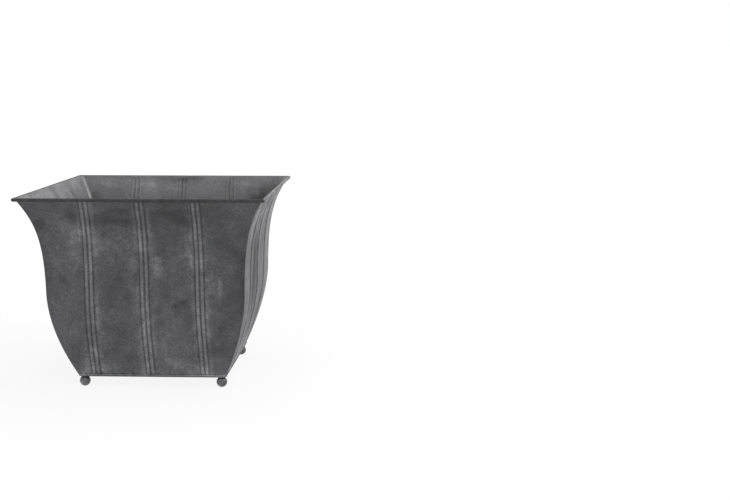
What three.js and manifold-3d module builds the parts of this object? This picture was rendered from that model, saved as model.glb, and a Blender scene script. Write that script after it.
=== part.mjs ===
// Flared square planter of aged sheet zinc, 406 mm across the rim and 327 mm tall.
// Four ogee panels with pressed double beads and a wired hem meet at mitred, soldered corners.
// They stand in a shallow pressed tray, which is screwed down onto four ball feet.
// Millimetres, +Z up, the front towards -Y, the origin on the floor under the middle.

import * as THREE from 'three';
import { mergeVertices } from 'three/addons/utils/BufferGeometryUtils.js';
import Module from 'manifold-3d';

const wasm = await Module();
wasm.setup();

// Driving dimensions of the whole planter.
const RIM_WIDTH = 406;
const HEIGHT = 327;
const BASE_WIDTH = 249;
const SHEET = 0.8;
const GAP = 0.3;

// Ogee outline of a panel's outer face, from the tray up to the hem. A lean is in degrees from
// upright, and a pull is how far the curve follows that lean before it bends away.
const WAIST_WIDTH = 326.6;
const WAIST_HEIGHT = 168;
const FOOT_LEAN = 25;
const WAIST_LEAN = 0.6;
const RIM_LEAN = 32;
const FOOT_PULL = 36;
const WAIST_PULL_DOWN = 57;
const WAIST_PULL_UP = 84;
const RIM_PULL = 47;

// Bands pressed into each panel: two half-round beads between three narrow grooves.
const BAND_SPACING = 90;
const BEAD_PITCH = 7.5;
const BEAD_RISE = 0.9;
const GROOVE_DEPTH = 0.5;
const GROOVE_LIP = 1.4;
const BAND_START = 5;
const BAND_END = 5.5;
const BAND_RUN_OUT = 3;

// Hem: the sheet's top edge rolled outwards over a round wire.
const WIRE_DIAMETER = 3.5;
const HEM_TURN = 305;

// Solder run into each inner corner.
const SEAM_LEG = 6;
const SEAM_DIP = 0.9;

// Ball foot, its seat, and the screw and washer that hold it from inside the tray.
const BALL_RADIUS = 9;
const BALL_CENTRE_HEIGHT = 8.6;
const FOOT_HEIGHT = 17.15;
const FOOT_NECK_RADIUS = 4.5;
const FOOT_INSET = 8.4;
const SCREW_RADIUS = 1.95;
const SCREW_REACH = 11;
const SCREW_HEAD_RADIUS = 4;
const SCREW_HEAD_HEIGHT = 2.4;
const SCREW_RECESS_WIDTH = 1.1;
const SCREW_RECESS_LENGTH = 4.4;
const SCREW_RECESS_DEPTH = 1.2;
const WASHER_RADIUS = 4.5;
const WASHER_THICKNESS = 0.8;

// Tray: a flat floor with an upturned lip outside the panels' lower edges, and drain holes.
const LIP_HEIGHT = 4.8;
const DRAIN_RADIUS = 5;
const DRAIN_SPACING = 62;

// How finely the curved shapes are faceted.
const PROFILE_STEPS = 12;
const BEAD_STEPS = 4;
const HEM_STEPS = 14;
const WIRE_SIDES = 14;
const BALL_SIDES = 18;
const BALL_STEPS = 8;
const SCREW_SIDES = 16;
const DRAIN_SIDES = 20;

// Values that follow from the dimensions above.
const BASE_HALF = BASE_WIDTH / 2;
const TRAY_BOTTOM = FOOT_HEIGHT + GAP;
const TRAY_FLOOR = TRAY_BOTTOM + SHEET;
const MITRE_GAP = GAP / Math.SQRT2;
const BORE_RADIUS = SCREW_RADIUS + GAP;
const HEM_INNER_RADIUS = WIRE_DIAMETER / 2 + GAP;
const HEM_OUTER_RADIUS = HEM_INNER_RADIUS + SHEET;
const FOOT_PLACE = BASE_HALF - FOOT_INSET;
const QUARTER_TURN = Math.PI / 2;

// In a section through the middle of a side, x is the distance out from the planter's axis and
// y is the height. direction() runs up the sheet, and outward() is square to it, facing out.
const direction = (lean) => {
  const angle = THREE.MathUtils.degToRad(lean);
  return new THREE.Vector2(Math.sin(angle), Math.cos(angle));
};
const outward = (along) => new THREE.Vector2(along.y, -along.x);

const HEM_CENTRE = new THREE.Vector2(RIM_WIDTH / 2 - HEM_OUTER_RADIUS, HEIGHT - HEM_OUTER_RADIUS);
const FOOT_SLOPE = THREE.MathUtils.degToRad(FOOT_LEAN);

// The tray's lip leans as the panel does, and the panel's lower edge stands inside it.
const lipOutside = (height) => BASE_HALF + (height - TRAY_BOTTOM) * Math.tan(FOOT_SLOPE);
const lipInside = (height) => lipOutside(height) - SHEET / Math.cos(FOOT_SLOPE);

// Outer face of a panel: one S-curve made of two cubic curves that join at the waist.
function panelOutline() {
  const footHeight = TRAY_FLOOR + GAP;
  const foot = new THREE.Vector2(lipInside(footHeight) - GAP / Math.cos(FOOT_SLOPE), footHeight);
  const waist = new THREE.Vector2(WAIST_WIDTH / 2, WAIST_HEIGHT);
  const rim = HEM_CENTRE.clone().addScaledVector(outward(direction(RIM_LEAN)), -HEM_INNER_RADIUS);
  const outline = new THREE.CurvePath();
  outline.add(new THREE.CubicBezierCurve(
    foot,
    foot.clone().addScaledVector(direction(FOOT_LEAN), FOOT_PULL),
    waist.clone().addScaledVector(direction(WAIST_LEAN), -WAIST_PULL_DOWN),
    waist,
  ));
  outline.add(new THREE.CubicBezierCurve(
    waist,
    waist.clone().addScaledVector(direction(WAIST_LEAN), WAIST_PULL_UP),
    rim.clone().addScaledVector(direction(RIM_LEAN), -RIM_PULL),
    rim,
  ));
  return outline;
}

// One station along the sheet: a point on the outer face, the way out from it, and how much of
// the bands' relief stands there. A plain station has no band columns at all.
function station(outline, length, distance, relief) {
  const place = distance / length;
  const point = outline.getPointAt(place);
  return { point, normal: outward(outline.getTangentAt(place)), relief, plain: relief === null };
}

// Stations from the tray to the start of the hem. The bands fade out just short of both ends.
function wallStations() {
  const outline = panelOutline();
  const length = outline.getLength();
  const start = BAND_START + BAND_RUN_OUT;
  const end = length - BAND_END - BAND_RUN_OUT;
  const stations = [
    station(outline, length, 0, null),
    station(outline, length, BAND_START, 0),
  ];
  for (let step = 0; step <= PROFILE_STEPS; step++) {
    stations.push(station(outline, length, THREE.MathUtils.lerp(start, end, step / PROFILE_STEPS), 1));
  }
  stations.push(station(outline, length, length - BAND_END, 0));
  stations.push(station(outline, length, length, null));
  return stations;
}

// Stations round the hem, where the sheet's outer face turns in towards the wire.
function hemStations() {
  const along = direction(RIM_LEAN);
  const inwards = outward(along).negate();
  const stations = [];
  for (let step = 1; step <= HEM_STEPS; step++) {
    const angle = THREE.MathUtils.degToRad(HEM_TURN * step / HEM_STEPS);
    const spoke = inwards.clone().multiplyScalar(Math.cos(angle)).addScaledVector(along, Math.sin(angle));
    const point = HEM_CENTRE.clone().addScaledVector(spoke, HEM_INNER_RADIUS);
    stations.push({ point, normal: spoke.negate(), relief: 0, plain: true });
  }
  return stations;
}

const WALL = wallStations();
const HEM = hemStations();

// Where the bands' points lie across a panel, and how far each stands out of the sheet.
function bandColumns() {
  const columns = [];
  for (const centre of [-BAND_SPACING, 0, BAND_SPACING]) {
    columns.push({ across: centre - BEAD_PITCH - GROOVE_LIP, rise: 0 });
    for (let step = -BEAD_STEPS; step <= BEAD_STEPS; step++) {
      const turn = step / BEAD_STEPS;
      const rise = (BEAD_RISE + GROOVE_DEPTH) * Math.abs(Math.sin(Math.PI * turn)) - GROOVE_DEPTH;
      columns.push({ across: centre + BEAD_PITCH * turn, rise });
    }
    columns.push({ across: centre + BEAD_PITCH + GROOVE_LIP, rise: 0 });
  }
  return columns;
}

// A row of points across a panel at one station, from mitre to mitre, depth below the outer face.
function panelRow({ point, normal, relief, plain }, depth) {
  const face = point.clone().addScaledVector(normal, -depth);
  const mitre = face.x - MITRE_GAP;
  const row = [new THREE.Vector3(-mitre, -face.x, face.y)];
  for (const { across, rise } of plain ? [] : bandColumns()) {
    const raised = face.clone().addScaledVector(normal, rise * relief);
    row.push(new THREE.Vector3(across, -raised.x, raised.y));
  }
  row.push(new THREE.Vector3(mitre, -face.x, face.y));
  return row;
}

// Points and triangles of one closed body, gathered row by row.
class Skin {
  points = [];

  triangles = [];

  addRow(row) {
    const first = this.points.length;
    this.points.push(...row);
    return row.map((_, place) => first + place);
  }

  // Fills the strip between two rows that run the same way, whatever the number of points in each.
  // The face looks towards a viewer who sees the upper row above and both rows run to the right.
  stitch(lower, upper) {
    let low = 0;
    let high = 0;
    while (low < lower.length - 1 || high < upper.length - 1) {
      const lowShare = (low + 1) / (lower.length - 1);
      const highShare = (high + 1) / (upper.length - 1);
      if (low < lower.length - 1 && lowShare <= highShare) {
        this.triangles.push(lower[low], lower[low + 1], upper[high]);
        low += 1;
      } else {
        this.triangles.push(lower[low], upper[high + 1], upper[high]);
        high += 1;
      }
    }
  }

  geometry() {
    const geometry = new THREE.BufferGeometry().setFromPoints(this.points);
    geometry.setIndex(this.triangles);
    return geometry;
  }
}

// A wall panel: outer rows up and round the hem, inner rows back down, and the two mitred edges.
function panelGeometry() {
  const skin = new Skin();
  const stations = [...WALL, ...HEM];
  const outer = stations.map((place) => skin.addRow(panelRow(place, 0)));
  const inner = stations.map((place) => skin.addRow(panelRow(place, SHEET)));
  const loop = [...outer, ...inner.toReversed(), outer[0]];
  for (let place = 1; place < loop.length; place++) {
    skin.stitch(loop[place - 1], loop[place]);
  }
  for (let place = 1; place < stations.length; place++) {
    const left = (at) => [inner[at].at(0), outer[at].at(0)];
    const right = (at) => [outer[at].at(-1), inner[at].at(-1)];
    skin.stitch(left(place - 1), left(place));
    skin.stitch(right(place - 1), right(place));
  }
  return skin.geometry();
}

// A length of wire along the front edge, its two ends cut on the mitre.
function wireGeometry() {
  const section = new THREE.Shape();
  section.absarc(0, 0, WIRE_DIAMETER / 2, 0, 2 * Math.PI);
  const options = { depth: 1, bevelEnabled: false, curveSegments: WIRE_SIDES };
  const geometry = new THREE.ExtrudeGeometry(section, options);
  const position = geometry.getAttribute('position');
  for (let place = 0; place < position.count; place++) {
    const side = position.getZ(place) > 0.5 ? -1 : 1;
    const out = HEM_CENTRE.x + position.getX(place);
    const height = HEM_CENTRE.y + position.getY(place);
    position.setXYZ(place, side * (out - MITRE_GAP), -out, height);
  }
  return geometry;
}

// Solder in the front left corner. It follows the panels' inner faces from the tray to the hem,
// and its open face is dished.
function seamGeometry() {
  const skin = new Skin();
  const rings = WALL.map(({ point, normal }) => {
    const face = point.clone().addScaledVector(normal, -SHEET - GAP);
    const corner = -face.x;
    const leg = corner + SEAM_LEG;
    const middle = corner + SEAM_LEG / 2 - SEAM_DIP;
    return skin.addRow([
      new THREE.Vector3(corner, corner, face.y),
      new THREE.Vector3(leg, corner, face.y),
      new THREE.Vector3(middle, middle, face.y),
      new THREE.Vector3(corner, leg, face.y),
    ]);
  });
  const closed = rings.map((ring) => [...ring, ring[0]]);
  for (let place = 1; place < closed.length; place++) {
    skin.stitch(closed[place - 1], closed[place]);
  }
  const [corner, alongFront, middle, alongLeft] = rings[0];
  skin.triangles.push(corner, middle, alongFront, corner, alongLeft, middle);
  const [topCorner, topFront, topMiddle, topLeft] = rings.at(-1);
  skin.triangles.push(topCorner, topFront, topMiddle, topCorner, topMiddle, topLeft);
  return skin.geometry();
}

// Turns a profile of [radius, height] points about +Z.
function turned(profile, sides) {
  const points = profile.map(([radius, height]) => new THREE.Vector2(radius, height));
  return new THREE.LatheGeometry(points, sides).rotateX(QUARTER_TURN);
}

// Half-round steps of the ball between two angles above its centre.
function ballArc(fromAngle, toAngle) {
  const arc = [];
  for (let step = 0; step <= BALL_STEPS; step++) {
    const angle = THREE.MathUtils.lerp(fromAngle, toAngle, step / BALL_STEPS);
    arc.push([BALL_RADIUS * Math.cos(angle), BALL_CENTRE_HEIGHT + BALL_RADIUS * Math.sin(angle)]);
  }
  return arc;
}

// A turned ball with a flat to stand on, a short neck to seat on, and a blind hole for the screw.
function footGeometry() {
  const flatAngle = -Math.asin(BALL_CENTRE_HEIGHT / BALL_RADIUS);
  const neckAngle = Math.acos(FOOT_NECK_RADIUS / BALL_RADIUS);
  const boreBottom = headSeat() - SCREW_REACH - 2 * GAP;
  return turned([
    [0, 0],
    ...ballArc(flatAngle, neckAngle),
    [FOOT_NECK_RADIUS, FOOT_HEIGHT],
    [BORE_RADIUS, FOOT_HEIGHT],
    [BORE_RADIUS, boreBottom],
    [0, boreBottom - BORE_RADIUS / 2],
  ], BALL_SIDES);
}

// Height of the underside of a screw's head, above the tray's floor and the washer.
function headSeat() {
  return TRAY_FLOOR + WASHER_THICKNESS + 2 * GAP;
}

function washerGeometry() {
  const bottom = TRAY_FLOOR + GAP;
  const top = bottom + WASHER_THICKNESS;
  return turned([
    [BORE_RADIUS, bottom],
    [WASHER_RADIUS, bottom],
    [WASHER_RADIUS, top],
    [BORE_RADIUS, top],
    [BORE_RADIUS, bottom],
  ], SCREW_SIDES);
}

// Turns a closed mesh into a solid that can be cut.
function solid(geometry) {
  const bare = geometry.clone();
  bare.deleteAttribute('normal');
  bare.deleteAttribute('uv');
  const merged = mergeVertices(bare, 1e-4);
  return new wasm.Manifold(new wasm.Mesh({
    numProp: 3,
    vertProperties: new Float32Array(merged.getAttribute('position').array),
    triVerts: new Uint32Array(merged.getIndex().array),
  }));
}

function cut(geometry, cutters) {
  const whole = cutters.reduce((rest, cutter) => rest.subtract(solid(cutter)), solid(geometry));
  const { vertProperties, triVerts } = whole.getMesh();
  const result = new THREE.BufferGeometry();
  result.setAttribute('position', new THREE.BufferAttribute(vertProperties, 3));
  result.setIndex(new THREE.BufferAttribute(triVerts, 1));
  return result;
}

// A pan-head screw with a cross recess.
function screwGeometry() {
  const seat = headSeat();
  const top = seat + SCREW_HEAD_HEIGHT;
  const blank = turned([
    [0, seat - SCREW_REACH],
    [SCREW_RADIUS * 0.7, seat - SCREW_REACH],
    [SCREW_RADIUS, seat - SCREW_REACH + 1],
    [SCREW_RADIUS, seat],
    [SCREW_HEAD_RADIUS, seat],
    [SCREW_HEAD_RADIUS, seat + SCREW_HEAD_HEIGHT * 0.35],
    [SCREW_HEAD_RADIUS * 0.88, seat + SCREW_HEAD_HEIGHT * 0.75],
    [SCREW_HEAD_RADIUS * 0.6, top],
    [0, top],
  ], SCREW_SIDES);
  const bar = () => new THREE.BoxGeometry(SCREW_RECESS_LENGTH, SCREW_RECESS_WIDTH, 2 * SCREW_RECESS_DEPTH);
  const arms = [bar(), bar().rotateZ(QUARTER_TURN)];
  return cut(blank, arms.map((arm) => arm.translate(0, 0, top)));
}

// The tray is a square dish: a four-sided turning, whose radius is that of the square's corner.
function trayGeometry() {
  const lipTop = TRAY_BOTTOM + LIP_HEIGHT;
  const profile = [
    [0, TRAY_BOTTOM],
    [BASE_HALF, TRAY_BOTTOM],
    [lipOutside(lipTop), lipTop],
    [lipInside(lipTop), lipTop],
    [lipInside(TRAY_FLOOR), TRAY_FLOOR],
    [0, TRAY_FLOOR],
  ];
  const dish = turned(profile.map(([half, height]) => [half * Math.SQRT2, height]), 4)
    .rotateZ(QUARTER_TURN / 2);
  return cut(dish, [...drainCutters(), ...screwCutters()]);
}

// A cylinder that goes through the tray's floor.
function floorCutter(radius, x, y, sides) {
  return new THREE.CylinderGeometry(radius, radius, 4 * SHEET, sides)
    .rotateX(QUARTER_TURN)
    .translate(x, y, TRAY_BOTTOM + SHEET / 2);
}

// One drain hole in the middle and four round it.
function drainCutters() {
  const places = [[0, 0], [-1, -1], [1, -1], [1, 1], [-1, 1]];
  return places.map(([x, y]) => floorCutter(DRAIN_RADIUS, x * DRAIN_SPACING, y * DRAIN_SPACING, DRAIN_SIDES));
}

function screwCutters() {
  const places = [[-1, -1], [1, -1], [1, 1], [-1, 1]];
  return places.map(([x, y]) => floorCutter(BORE_RADIUS, x * FOOT_PLACE, y * FOOT_PLACE, SCREW_SIDES));
}

// A named sub-part with a material of its own.
function piece(name, geometry, color, roughness, metalness) {
  const material = new THREE.MeshStandardMaterial({ color, roughness, metalness });
  const mesh = new THREE.Mesh(geometry, material);
  mesh.name = name;
  return mesh;
}

const wallPanel = (name) => piece(name, panelGeometry(), 0x626366, 0.55, 0.6);
const rimWire = (name) => piece(name, wireGeometry(), 0x6f6f6e, 0.5, 0.8);
const cornerSeam = (name) => piece(name, seamGeometry(), 0x8c8b8d, 0.5, 0.7);
const baseTray = () => piece('base_tray', trayGeometry(), 0x57585b, 0.6, 0.6);
const ballFoot = (name) => piece(name, footGeometry(), 0x5c5c5f, 0.5, 0.7);
const footWasher = (name) => piece(name, washerGeometry(), 0x9b9b98, 0.35, 0.9);
const footScrew = (name) => piece(name, screwGeometry(), 0x9b9b98, 0.35, 0.9);

const planter = new THREE.Group();
planter.add(baseTray());

// A panel and its wire on each side, each side a quarter turn on from the one before.
['front', 'right', 'back', 'left'].forEach((side, turns) => {
  const wall = new THREE.Group();
  wall.rotation.z = turns * QUARTER_TURN;
  wall.add(wallPanel(`${side}_panel`), rimWire(`rim_wire_${side}`));
  planter.add(wall);
});

// Solder, a foot, a washer and a screw in each corner.
['front_left', 'front_right', 'back_right', 'back_left'].forEach((place, turns) => {
  const corner = new THREE.Group();
  corner.rotation.z = turns * QUARTER_TURN;
  const fixings = new THREE.Group();
  fixings.position.set(-FOOT_PLACE, -FOOT_PLACE, 0);
  fixings.add(
    ballFoot(`ball_foot_${place}`),
    footWasher(`foot_washer_${place}`),
    footScrew(`foot_screw_${place}`),
  );
  corner.add(cornerSeam(`corner_seam_${place}`), fixings);
  planter.add(corner);
});

export default planter;
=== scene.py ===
# Flared square planter of aged sheet zinc: four pressed ogee panels with a wired hem, soldered at
# their corners and set in a shallow tray on four ball feet. Metres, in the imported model's frame.
import bisect
import itertools
import math

import bmesh
import bpy
from mathutils import Matrix, Vector, noise
from mathutils.geometry import interpolate_bezier


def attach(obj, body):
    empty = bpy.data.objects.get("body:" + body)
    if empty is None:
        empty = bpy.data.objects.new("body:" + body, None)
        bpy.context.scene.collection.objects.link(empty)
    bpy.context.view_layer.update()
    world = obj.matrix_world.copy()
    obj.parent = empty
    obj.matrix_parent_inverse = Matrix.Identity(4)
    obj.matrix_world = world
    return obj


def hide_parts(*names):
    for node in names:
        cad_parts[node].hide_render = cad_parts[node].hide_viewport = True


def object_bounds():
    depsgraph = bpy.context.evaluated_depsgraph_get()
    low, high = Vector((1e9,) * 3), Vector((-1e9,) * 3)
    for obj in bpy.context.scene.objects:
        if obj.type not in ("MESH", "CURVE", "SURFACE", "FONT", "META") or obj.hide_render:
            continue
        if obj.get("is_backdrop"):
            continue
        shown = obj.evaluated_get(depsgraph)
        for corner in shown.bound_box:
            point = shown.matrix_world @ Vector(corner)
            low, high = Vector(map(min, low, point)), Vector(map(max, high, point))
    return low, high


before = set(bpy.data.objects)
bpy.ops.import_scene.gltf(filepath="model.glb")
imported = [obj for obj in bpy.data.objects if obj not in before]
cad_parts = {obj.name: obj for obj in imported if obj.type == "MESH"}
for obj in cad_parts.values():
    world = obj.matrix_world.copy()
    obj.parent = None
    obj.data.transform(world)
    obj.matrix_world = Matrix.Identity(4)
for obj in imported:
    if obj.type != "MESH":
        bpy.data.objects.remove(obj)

cad_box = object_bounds()

# ------------------------------------------------------------------------------------ Camera
# It stands a little right of the planter's middle and above its rim, and looks slightly down through
# a long lens. The small shift follows the picture's framing, whose uprights hardly converge.
camera_place = Vector((0.4400, -2.1360, 0.5449))
camera_turn = math.radians(-2.3462)
camera_dip = math.radians(8.234)
camera_roll = math.radians(-0.0194)
camera_ahead = Vector((
    math.sin(camera_turn) * math.cos(camera_dip),
    math.cos(camera_turn) * math.cos(camera_dip),
    -math.sin(camera_dip),
))
level_right = Vector((math.cos(camera_turn), -math.sin(camera_turn), 0.0))
level_up = level_right.cross(camera_ahead)
camera_right = level_right * math.cos(camera_roll) + level_up * math.sin(camera_roll)
camera_up = level_up * math.cos(camera_roll) - level_right * math.sin(camera_roll)

lens = bpy.data.cameras.new("photo_camera")
lens.sensor_width = 36.0
lens.lens = 61.161
lens.shift_y = -0.015
lens.clip_end = 100.0
camera = bpy.data.objects.new("photo_camera", lens)
camera.matrix_world = Matrix.Translation(camera_place) @ Matrix((
    camera_right, camera_up, -camera_ahead,
)).transposed().to_4x4()
bpy.context.scene.collection.objects.link(camera)
bpy.context.scene.camera = camera
bpy.context.scene.view_settings.view_transform = "Standard"


# ------------------------------------------------------------------------------------ Studio
# A plain white floor under a white surround, with one broad soft lamp high on the right, a weak
# one in front and a weak one overhead. The floor keeps a soft shadow close to the planter.
class Finish:
    """The nodes of one surface finish, or of the studio's surround."""

    def __init__(self, owner):
        owner.use_nodes = True
        self.owner = owner
        self.tree = owner.node_tree

    def node(self, kind, settings, values, output=0):
        """Adds a node of a kind: its settings first, then what its sockets hold or are linked to."""
        made = self.tree.nodes.new(kind)
        for name, setting in settings.items():
            setattr(made, name, setting)
        for place, value in values.items():
            self.feed(made.inputs[place], value)
        return Tone(self, made.outputs[output])

    def feed(self, socket, value):
        """Links a socket to a tone, or sets it to a value."""
        if isinstance(value, Tone):
            self.tree.links.new(value.socket, socket)
        else:
            socket.default_value = value

    def built_in(self, kind):
        """Finds the node of a kind that came with the material or the surround."""
        return next(node for node in self.tree.nodes if node.bl_idname == kind)

    def sum(self, operation, *values):
        """Adds a Math node for an operation on tones and numbers."""
        return self.node("ShaderNodeMath", {"operation": operation}, dict(enumerate(values)))

    def rise(self, value, low, high, bottom=0.0, top=1.0):
        """Goes smoothly from bottom to top while the value goes from low to high."""
        sockets = {0: value, 1: low, 2: high, 3: bottom, 4: top}
        return self.node("ShaderNodeMapRange", {"interpolation_type": "SMOOTHSTEP"}, sockets)


class Tone:
    """A value on its way through a finish. Its operators add the Math nodes."""

    def __init__(self, finish, socket):
        self.finish = finish
        self.socket = socket

    def capped(self, low, high):
        """Keeps a value between two others."""
        return self.finish.sum("MINIMUM", self.finish.sum("MAXIMUM", self, low), high)

    def most(self, other):
        """The larger of two values."""
        return self.finish.sum("MAXIMUM", self, other)

    def least(self, other):
        """The smaller of two values."""
        return self.finish.sum("MINIMUM", self, other)

    def __add__(self, other):
        return self.finish.sum("ADD", self, other)

    __radd__ = __add__

    def __sub__(self, other):
        return self.finish.sum("SUBTRACT", self, other)

    def __rsub__(self, other):
        return self.finish.sum("SUBTRACT", other, self)

    def __mul__(self, other):
        return self.finish.sum("MULTIPLY", self, other)

    __rmul__ = __mul__

    def __truediv__(self, other):
        return self.finish.sum("DIVIDE", self, other)

    def __rtruediv__(self, other):
        return self.finish.sum("DIVIDE", other, self)

    def __abs__(self):
        return self.finish.sum("ABSOLUTE", self)

    def __round__(self):
        return self.finish.sum("ROUND", self)


white = (1.0, 1.0, 1.0, 1.0)
fill_level = 0.45

surround = Finish(bpy.data.worlds.new("surround"))
bpy.context.scene.world = surround.owner


def seen_white(finish):
    """One for rays that show the background itself: to the camera, in gloss and through glass."""
    kinds = ("Is Camera Ray", "Is Glossy Ray", "Is Transmission Ray")
    camera_ray, glossy, through = (finish.node("ShaderNodeLightPath", {}, {}, output=kind) for kind in kinds)
    return camera_ray.most(glossy).most(through)


backdrop = surround.built_in("ShaderNodeBackground")
surround.feed(backdrop.inputs["Color"], white)
surround.feed(backdrop.inputs["Strength"], surround.rise(seen_white(surround), 0.0, 1.0, fill_level, 1.0))

floor_radius = 14.0
floor_drop = 0.0002
floor_colour = (0.86, 0.86, 0.86, 1.0)
shadow_reach = (0.35, 1.3)
shadow_share = 0.12
floor_glow = 1.02

floor_mesh = bpy.data.meshes.new("floor")
shape = bmesh.new()
bmesh.ops.create_circle(shape, cap_ends=True, segments=96, radius=floor_radius)
bmesh.ops.translate(shape, verts=shape.verts, vec=(0.0, 0.0, -floor_drop))
shape.to_mesh(floor_mesh)
shape.free()
floor = bpy.data.objects.new("floor", floor_mesh)
bpy.context.scene.collection.objects.link(floor)
floor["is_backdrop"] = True

paint = Finish(bpy.data.materials.new("white_floor"))
paint.tree.nodes.remove(paint.built_in("ShaderNodeBsdfPrincipled"))
place = paint.node("ShaderNodeTexCoord", {}, {}, output="Object")
away = paint.node("ShaderNodeVectorMath", {"operation": "LENGTH"}, {0: place}, output="Value")
glow_share = paint.rise(away, *shadow_reach, 1.0 - shadow_share, 1.0) * seen_white(paint)
matte = paint.node("ShaderNodeBsdfDiffuse", {}, {"Color": floor_colour})
glow = paint.node("ShaderNodeEmission", {}, {"Color": white, "Strength": floor_glow})
lit = paint.node("ShaderNodeMixShader", {}, {0: glow_share, 1: matte, 2: glow})
behind = paint.node("ShaderNodeNewGeometry", {}, {}, output="Backfacing")
clear = paint.node("ShaderNodeBsdfTransparent", {}, {})
faced = paint.node("ShaderNodeMixShader", {}, {0: behind, 1: lit, 2: clear})
paint.feed(paint.built_in("ShaderNodeOutputMaterial").inputs["Surface"], faced)
floor_mesh.materials.append(paint.owner)


lamp_aim = Vector((0.0, 0.0, 0.17))


def add_lamp(name, turn, height, distance, width, watts, colour):
    """Hangs a square lamp that faces the planter, turned to the right of its front, in degrees."""
    turn = math.radians(turn)
    height = math.radians(height)
    level = math.cos(height)
    towards = Vector((math.sin(turn) * level, -math.cos(turn) * level, math.sin(height)))
    light = bpy.data.lights.new(name, "AREA")
    light.size = width
    light.energy = watts
    light.color = colour
    lamp = bpy.data.objects.new(name, light)
    turned = towards.to_track_quat("Z", "Y").to_matrix().to_4x4()
    lamp.matrix_world = Matrix.Translation(lamp_aim + towards * distance) @ turned
    lamp.visible_camera = False
    bpy.context.scene.collection.objects.link(lamp)


add_lamp("key_lamp", 84.0, 46.0, 2.6, 1.3, 20.0, (1.0, 0.975, 0.985))
add_lamp("front_lamp", 14.0, 50.0, 3.0, 1.8, 12.0, (0.975, 0.985, 1.0))
add_lamp("top_lamp", 150.0, 78.0, 2.4, 1.4, 14.0, (1.0, 1.0, 1.0))

# ------------------------------------------------------------------------------- Wall panels
# Four alike panels of 0.8 mm sheet. Three double beads are pressed into the flat blank, which is
# then rolled to an ogee, mitred at both sides, and its top edge rolled outwards into a hem.
sheet = 0.0008
rim_half = 0.203
rim_top = 0.327
waist = Vector((0.1633, 0.168))
foot_edge = Vector((0.1238, 0.01855))
foot_lean = 25.0
waist_lean = 0.6
rim_lean = 32.0
foot_pull = 0.036
waist_pull_down = 0.057
waist_pull_up = 0.084
rim_pull = 0.047
ogee_points = 240
hem_inside = 0.00205
hem_turn = math.radians(305.0)
hem_middle = Vector((rim_half - hem_inside - sheet, rim_top - hem_inside - sheet))


def leaning(degrees):
    """Up the sheet where it leans out by so many degrees, as distance out and height."""
    angle = math.radians(degrees)
    return Vector((math.sin(angle), math.cos(angle)))


def square_to(run):
    """Out from the sheet, square to its run."""
    return Vector((run.y, -run.x))


hem_start = hem_middle - square_to(leaning(rim_lean)) * hem_inside
above_foot = foot_edge + leaning(foot_lean) * foot_pull
below_waist = waist - leaning(waist_lean) * waist_pull_down
above_waist = waist + leaning(waist_lean) * waist_pull_up
below_hem = hem_start - leaning(rim_lean) * rim_pull
belly = interpolate_bezier(foot_edge, above_foot, below_waist, waist, ogee_points)
flare = interpolate_bezier(waist, above_waist, below_hem, hem_start, ogee_points)
ogee = belly + flare[1:]
ogee_steps = [(end - start).length for start, end in itertools.pairwise(ogee)]
ogee_lengths = [0.0, *itertools.accumulate(ogee_steps)]
wall_length = ogee_lengths[-1]


def on_sheet(along):
    """The sheet's outer face and the way out from it, so far up from its lower edge."""
    if along > wall_length:
        angle = (along - wall_length) / hem_inside
        run = leaning(rim_lean)
        spoke = run * math.sin(angle) - square_to(run) * math.cos(angle)
        return hem_middle + spoke * hem_inside, -spoke
    step = min(max(bisect.bisect_right(ogee_lengths, along), 1), len(ogee) - 1)
    start, end = ogee[step - 1], ogee[step]
    share = (along - ogee_lengths[step - 1]) / (ogee_lengths[step] - ogee_lengths[step - 1])
    return start.lerp(end, share), square_to((end - start).normalized())


band_places = (-0.09, 0.0, 0.09)
bead_pitch = 0.0075
bead_height = 0.0009
groove_depth = 0.0005
groove_side = 0.0015
bead_fullness = 0.55
shoulder_height = 0.00025
shoulder_width = 0.006
band_edge = 0.0115
band_foot = (0.0044, 0.0064)
band_head = (0.0024, 0.0044)
dent_depth = 0.0005
dent_fade = 0.03
dent_waves = (11.0, 8.0)
dent_ripples = (30.0, 24.0)
dent_ripple_share = 0.35


def ease(value, low, high):
    """Goes smoothly from 0 to 1 while the value goes from low to high."""
    share = min(max((value - low) / (high - low), 0.0), 1.0)
    return share * share * (3.0 - 2.0 * share)


def fade(value, low, high):
    """Goes smoothly from 1 to 0 while the value goes from low to high."""
    return 1.0 - ease(value, low, high)


def speckle(across, along, rates, seed):
    """Smooth noise over the sheet, with so many waves to the metre across and along it."""
    return noise.noise(Vector((across * rates[0], along * rates[1], seed)))


def pressed(across, along):
    """How far the beads and grooves stand out of the sheet."""
    off = min(abs(across - place) for place in band_places)
    if off < bead_pitch:
        wave = abs(math.sin(math.pi * off / bead_pitch)) ** bead_fullness
        height = (bead_height + groove_depth) * wave - groove_depth
    else:
        height = -groove_depth * fade(off, bead_pitch, bead_pitch + groove_side)
    swell = math.sin(math.pi * min(max((off - bead_pitch) / shoulder_width, 0.0), 1.0))
    height += shoulder_height * swell * swell
    return height * ease(along, *band_foot) * ease(wall_length - along, *band_head)


def dented(across, along, mitre, seed):
    """The slow waves that hand work leaves in thin sheet. They die out towards every joint."""
    room = min(mitre - abs(across), along, wall_length - along)
    wave = speckle(across, along, dent_waves, seed)
    ripple = speckle(across, along, dent_ripples, seed + 7.0)
    return (wave + dent_ripple_share * ripple) * dent_depth * ease(room, 0.0, dent_fade)


# How far each band of a side has run out of true at the foot, left to right, and where the sheet
# beside the outer bands is true again.
drift_end = (band_places[2] + 0.015, 0.124)
band_drift = {
    "front": (-0.0038, -0.0013, 0.0),
    "right": (0.0008, -0.0006, 0.0011),
    "back": (-0.0007, 0.0009, -0.0004),
    "left": (0.0005, 0.0007, -0.0009),
}


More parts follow.
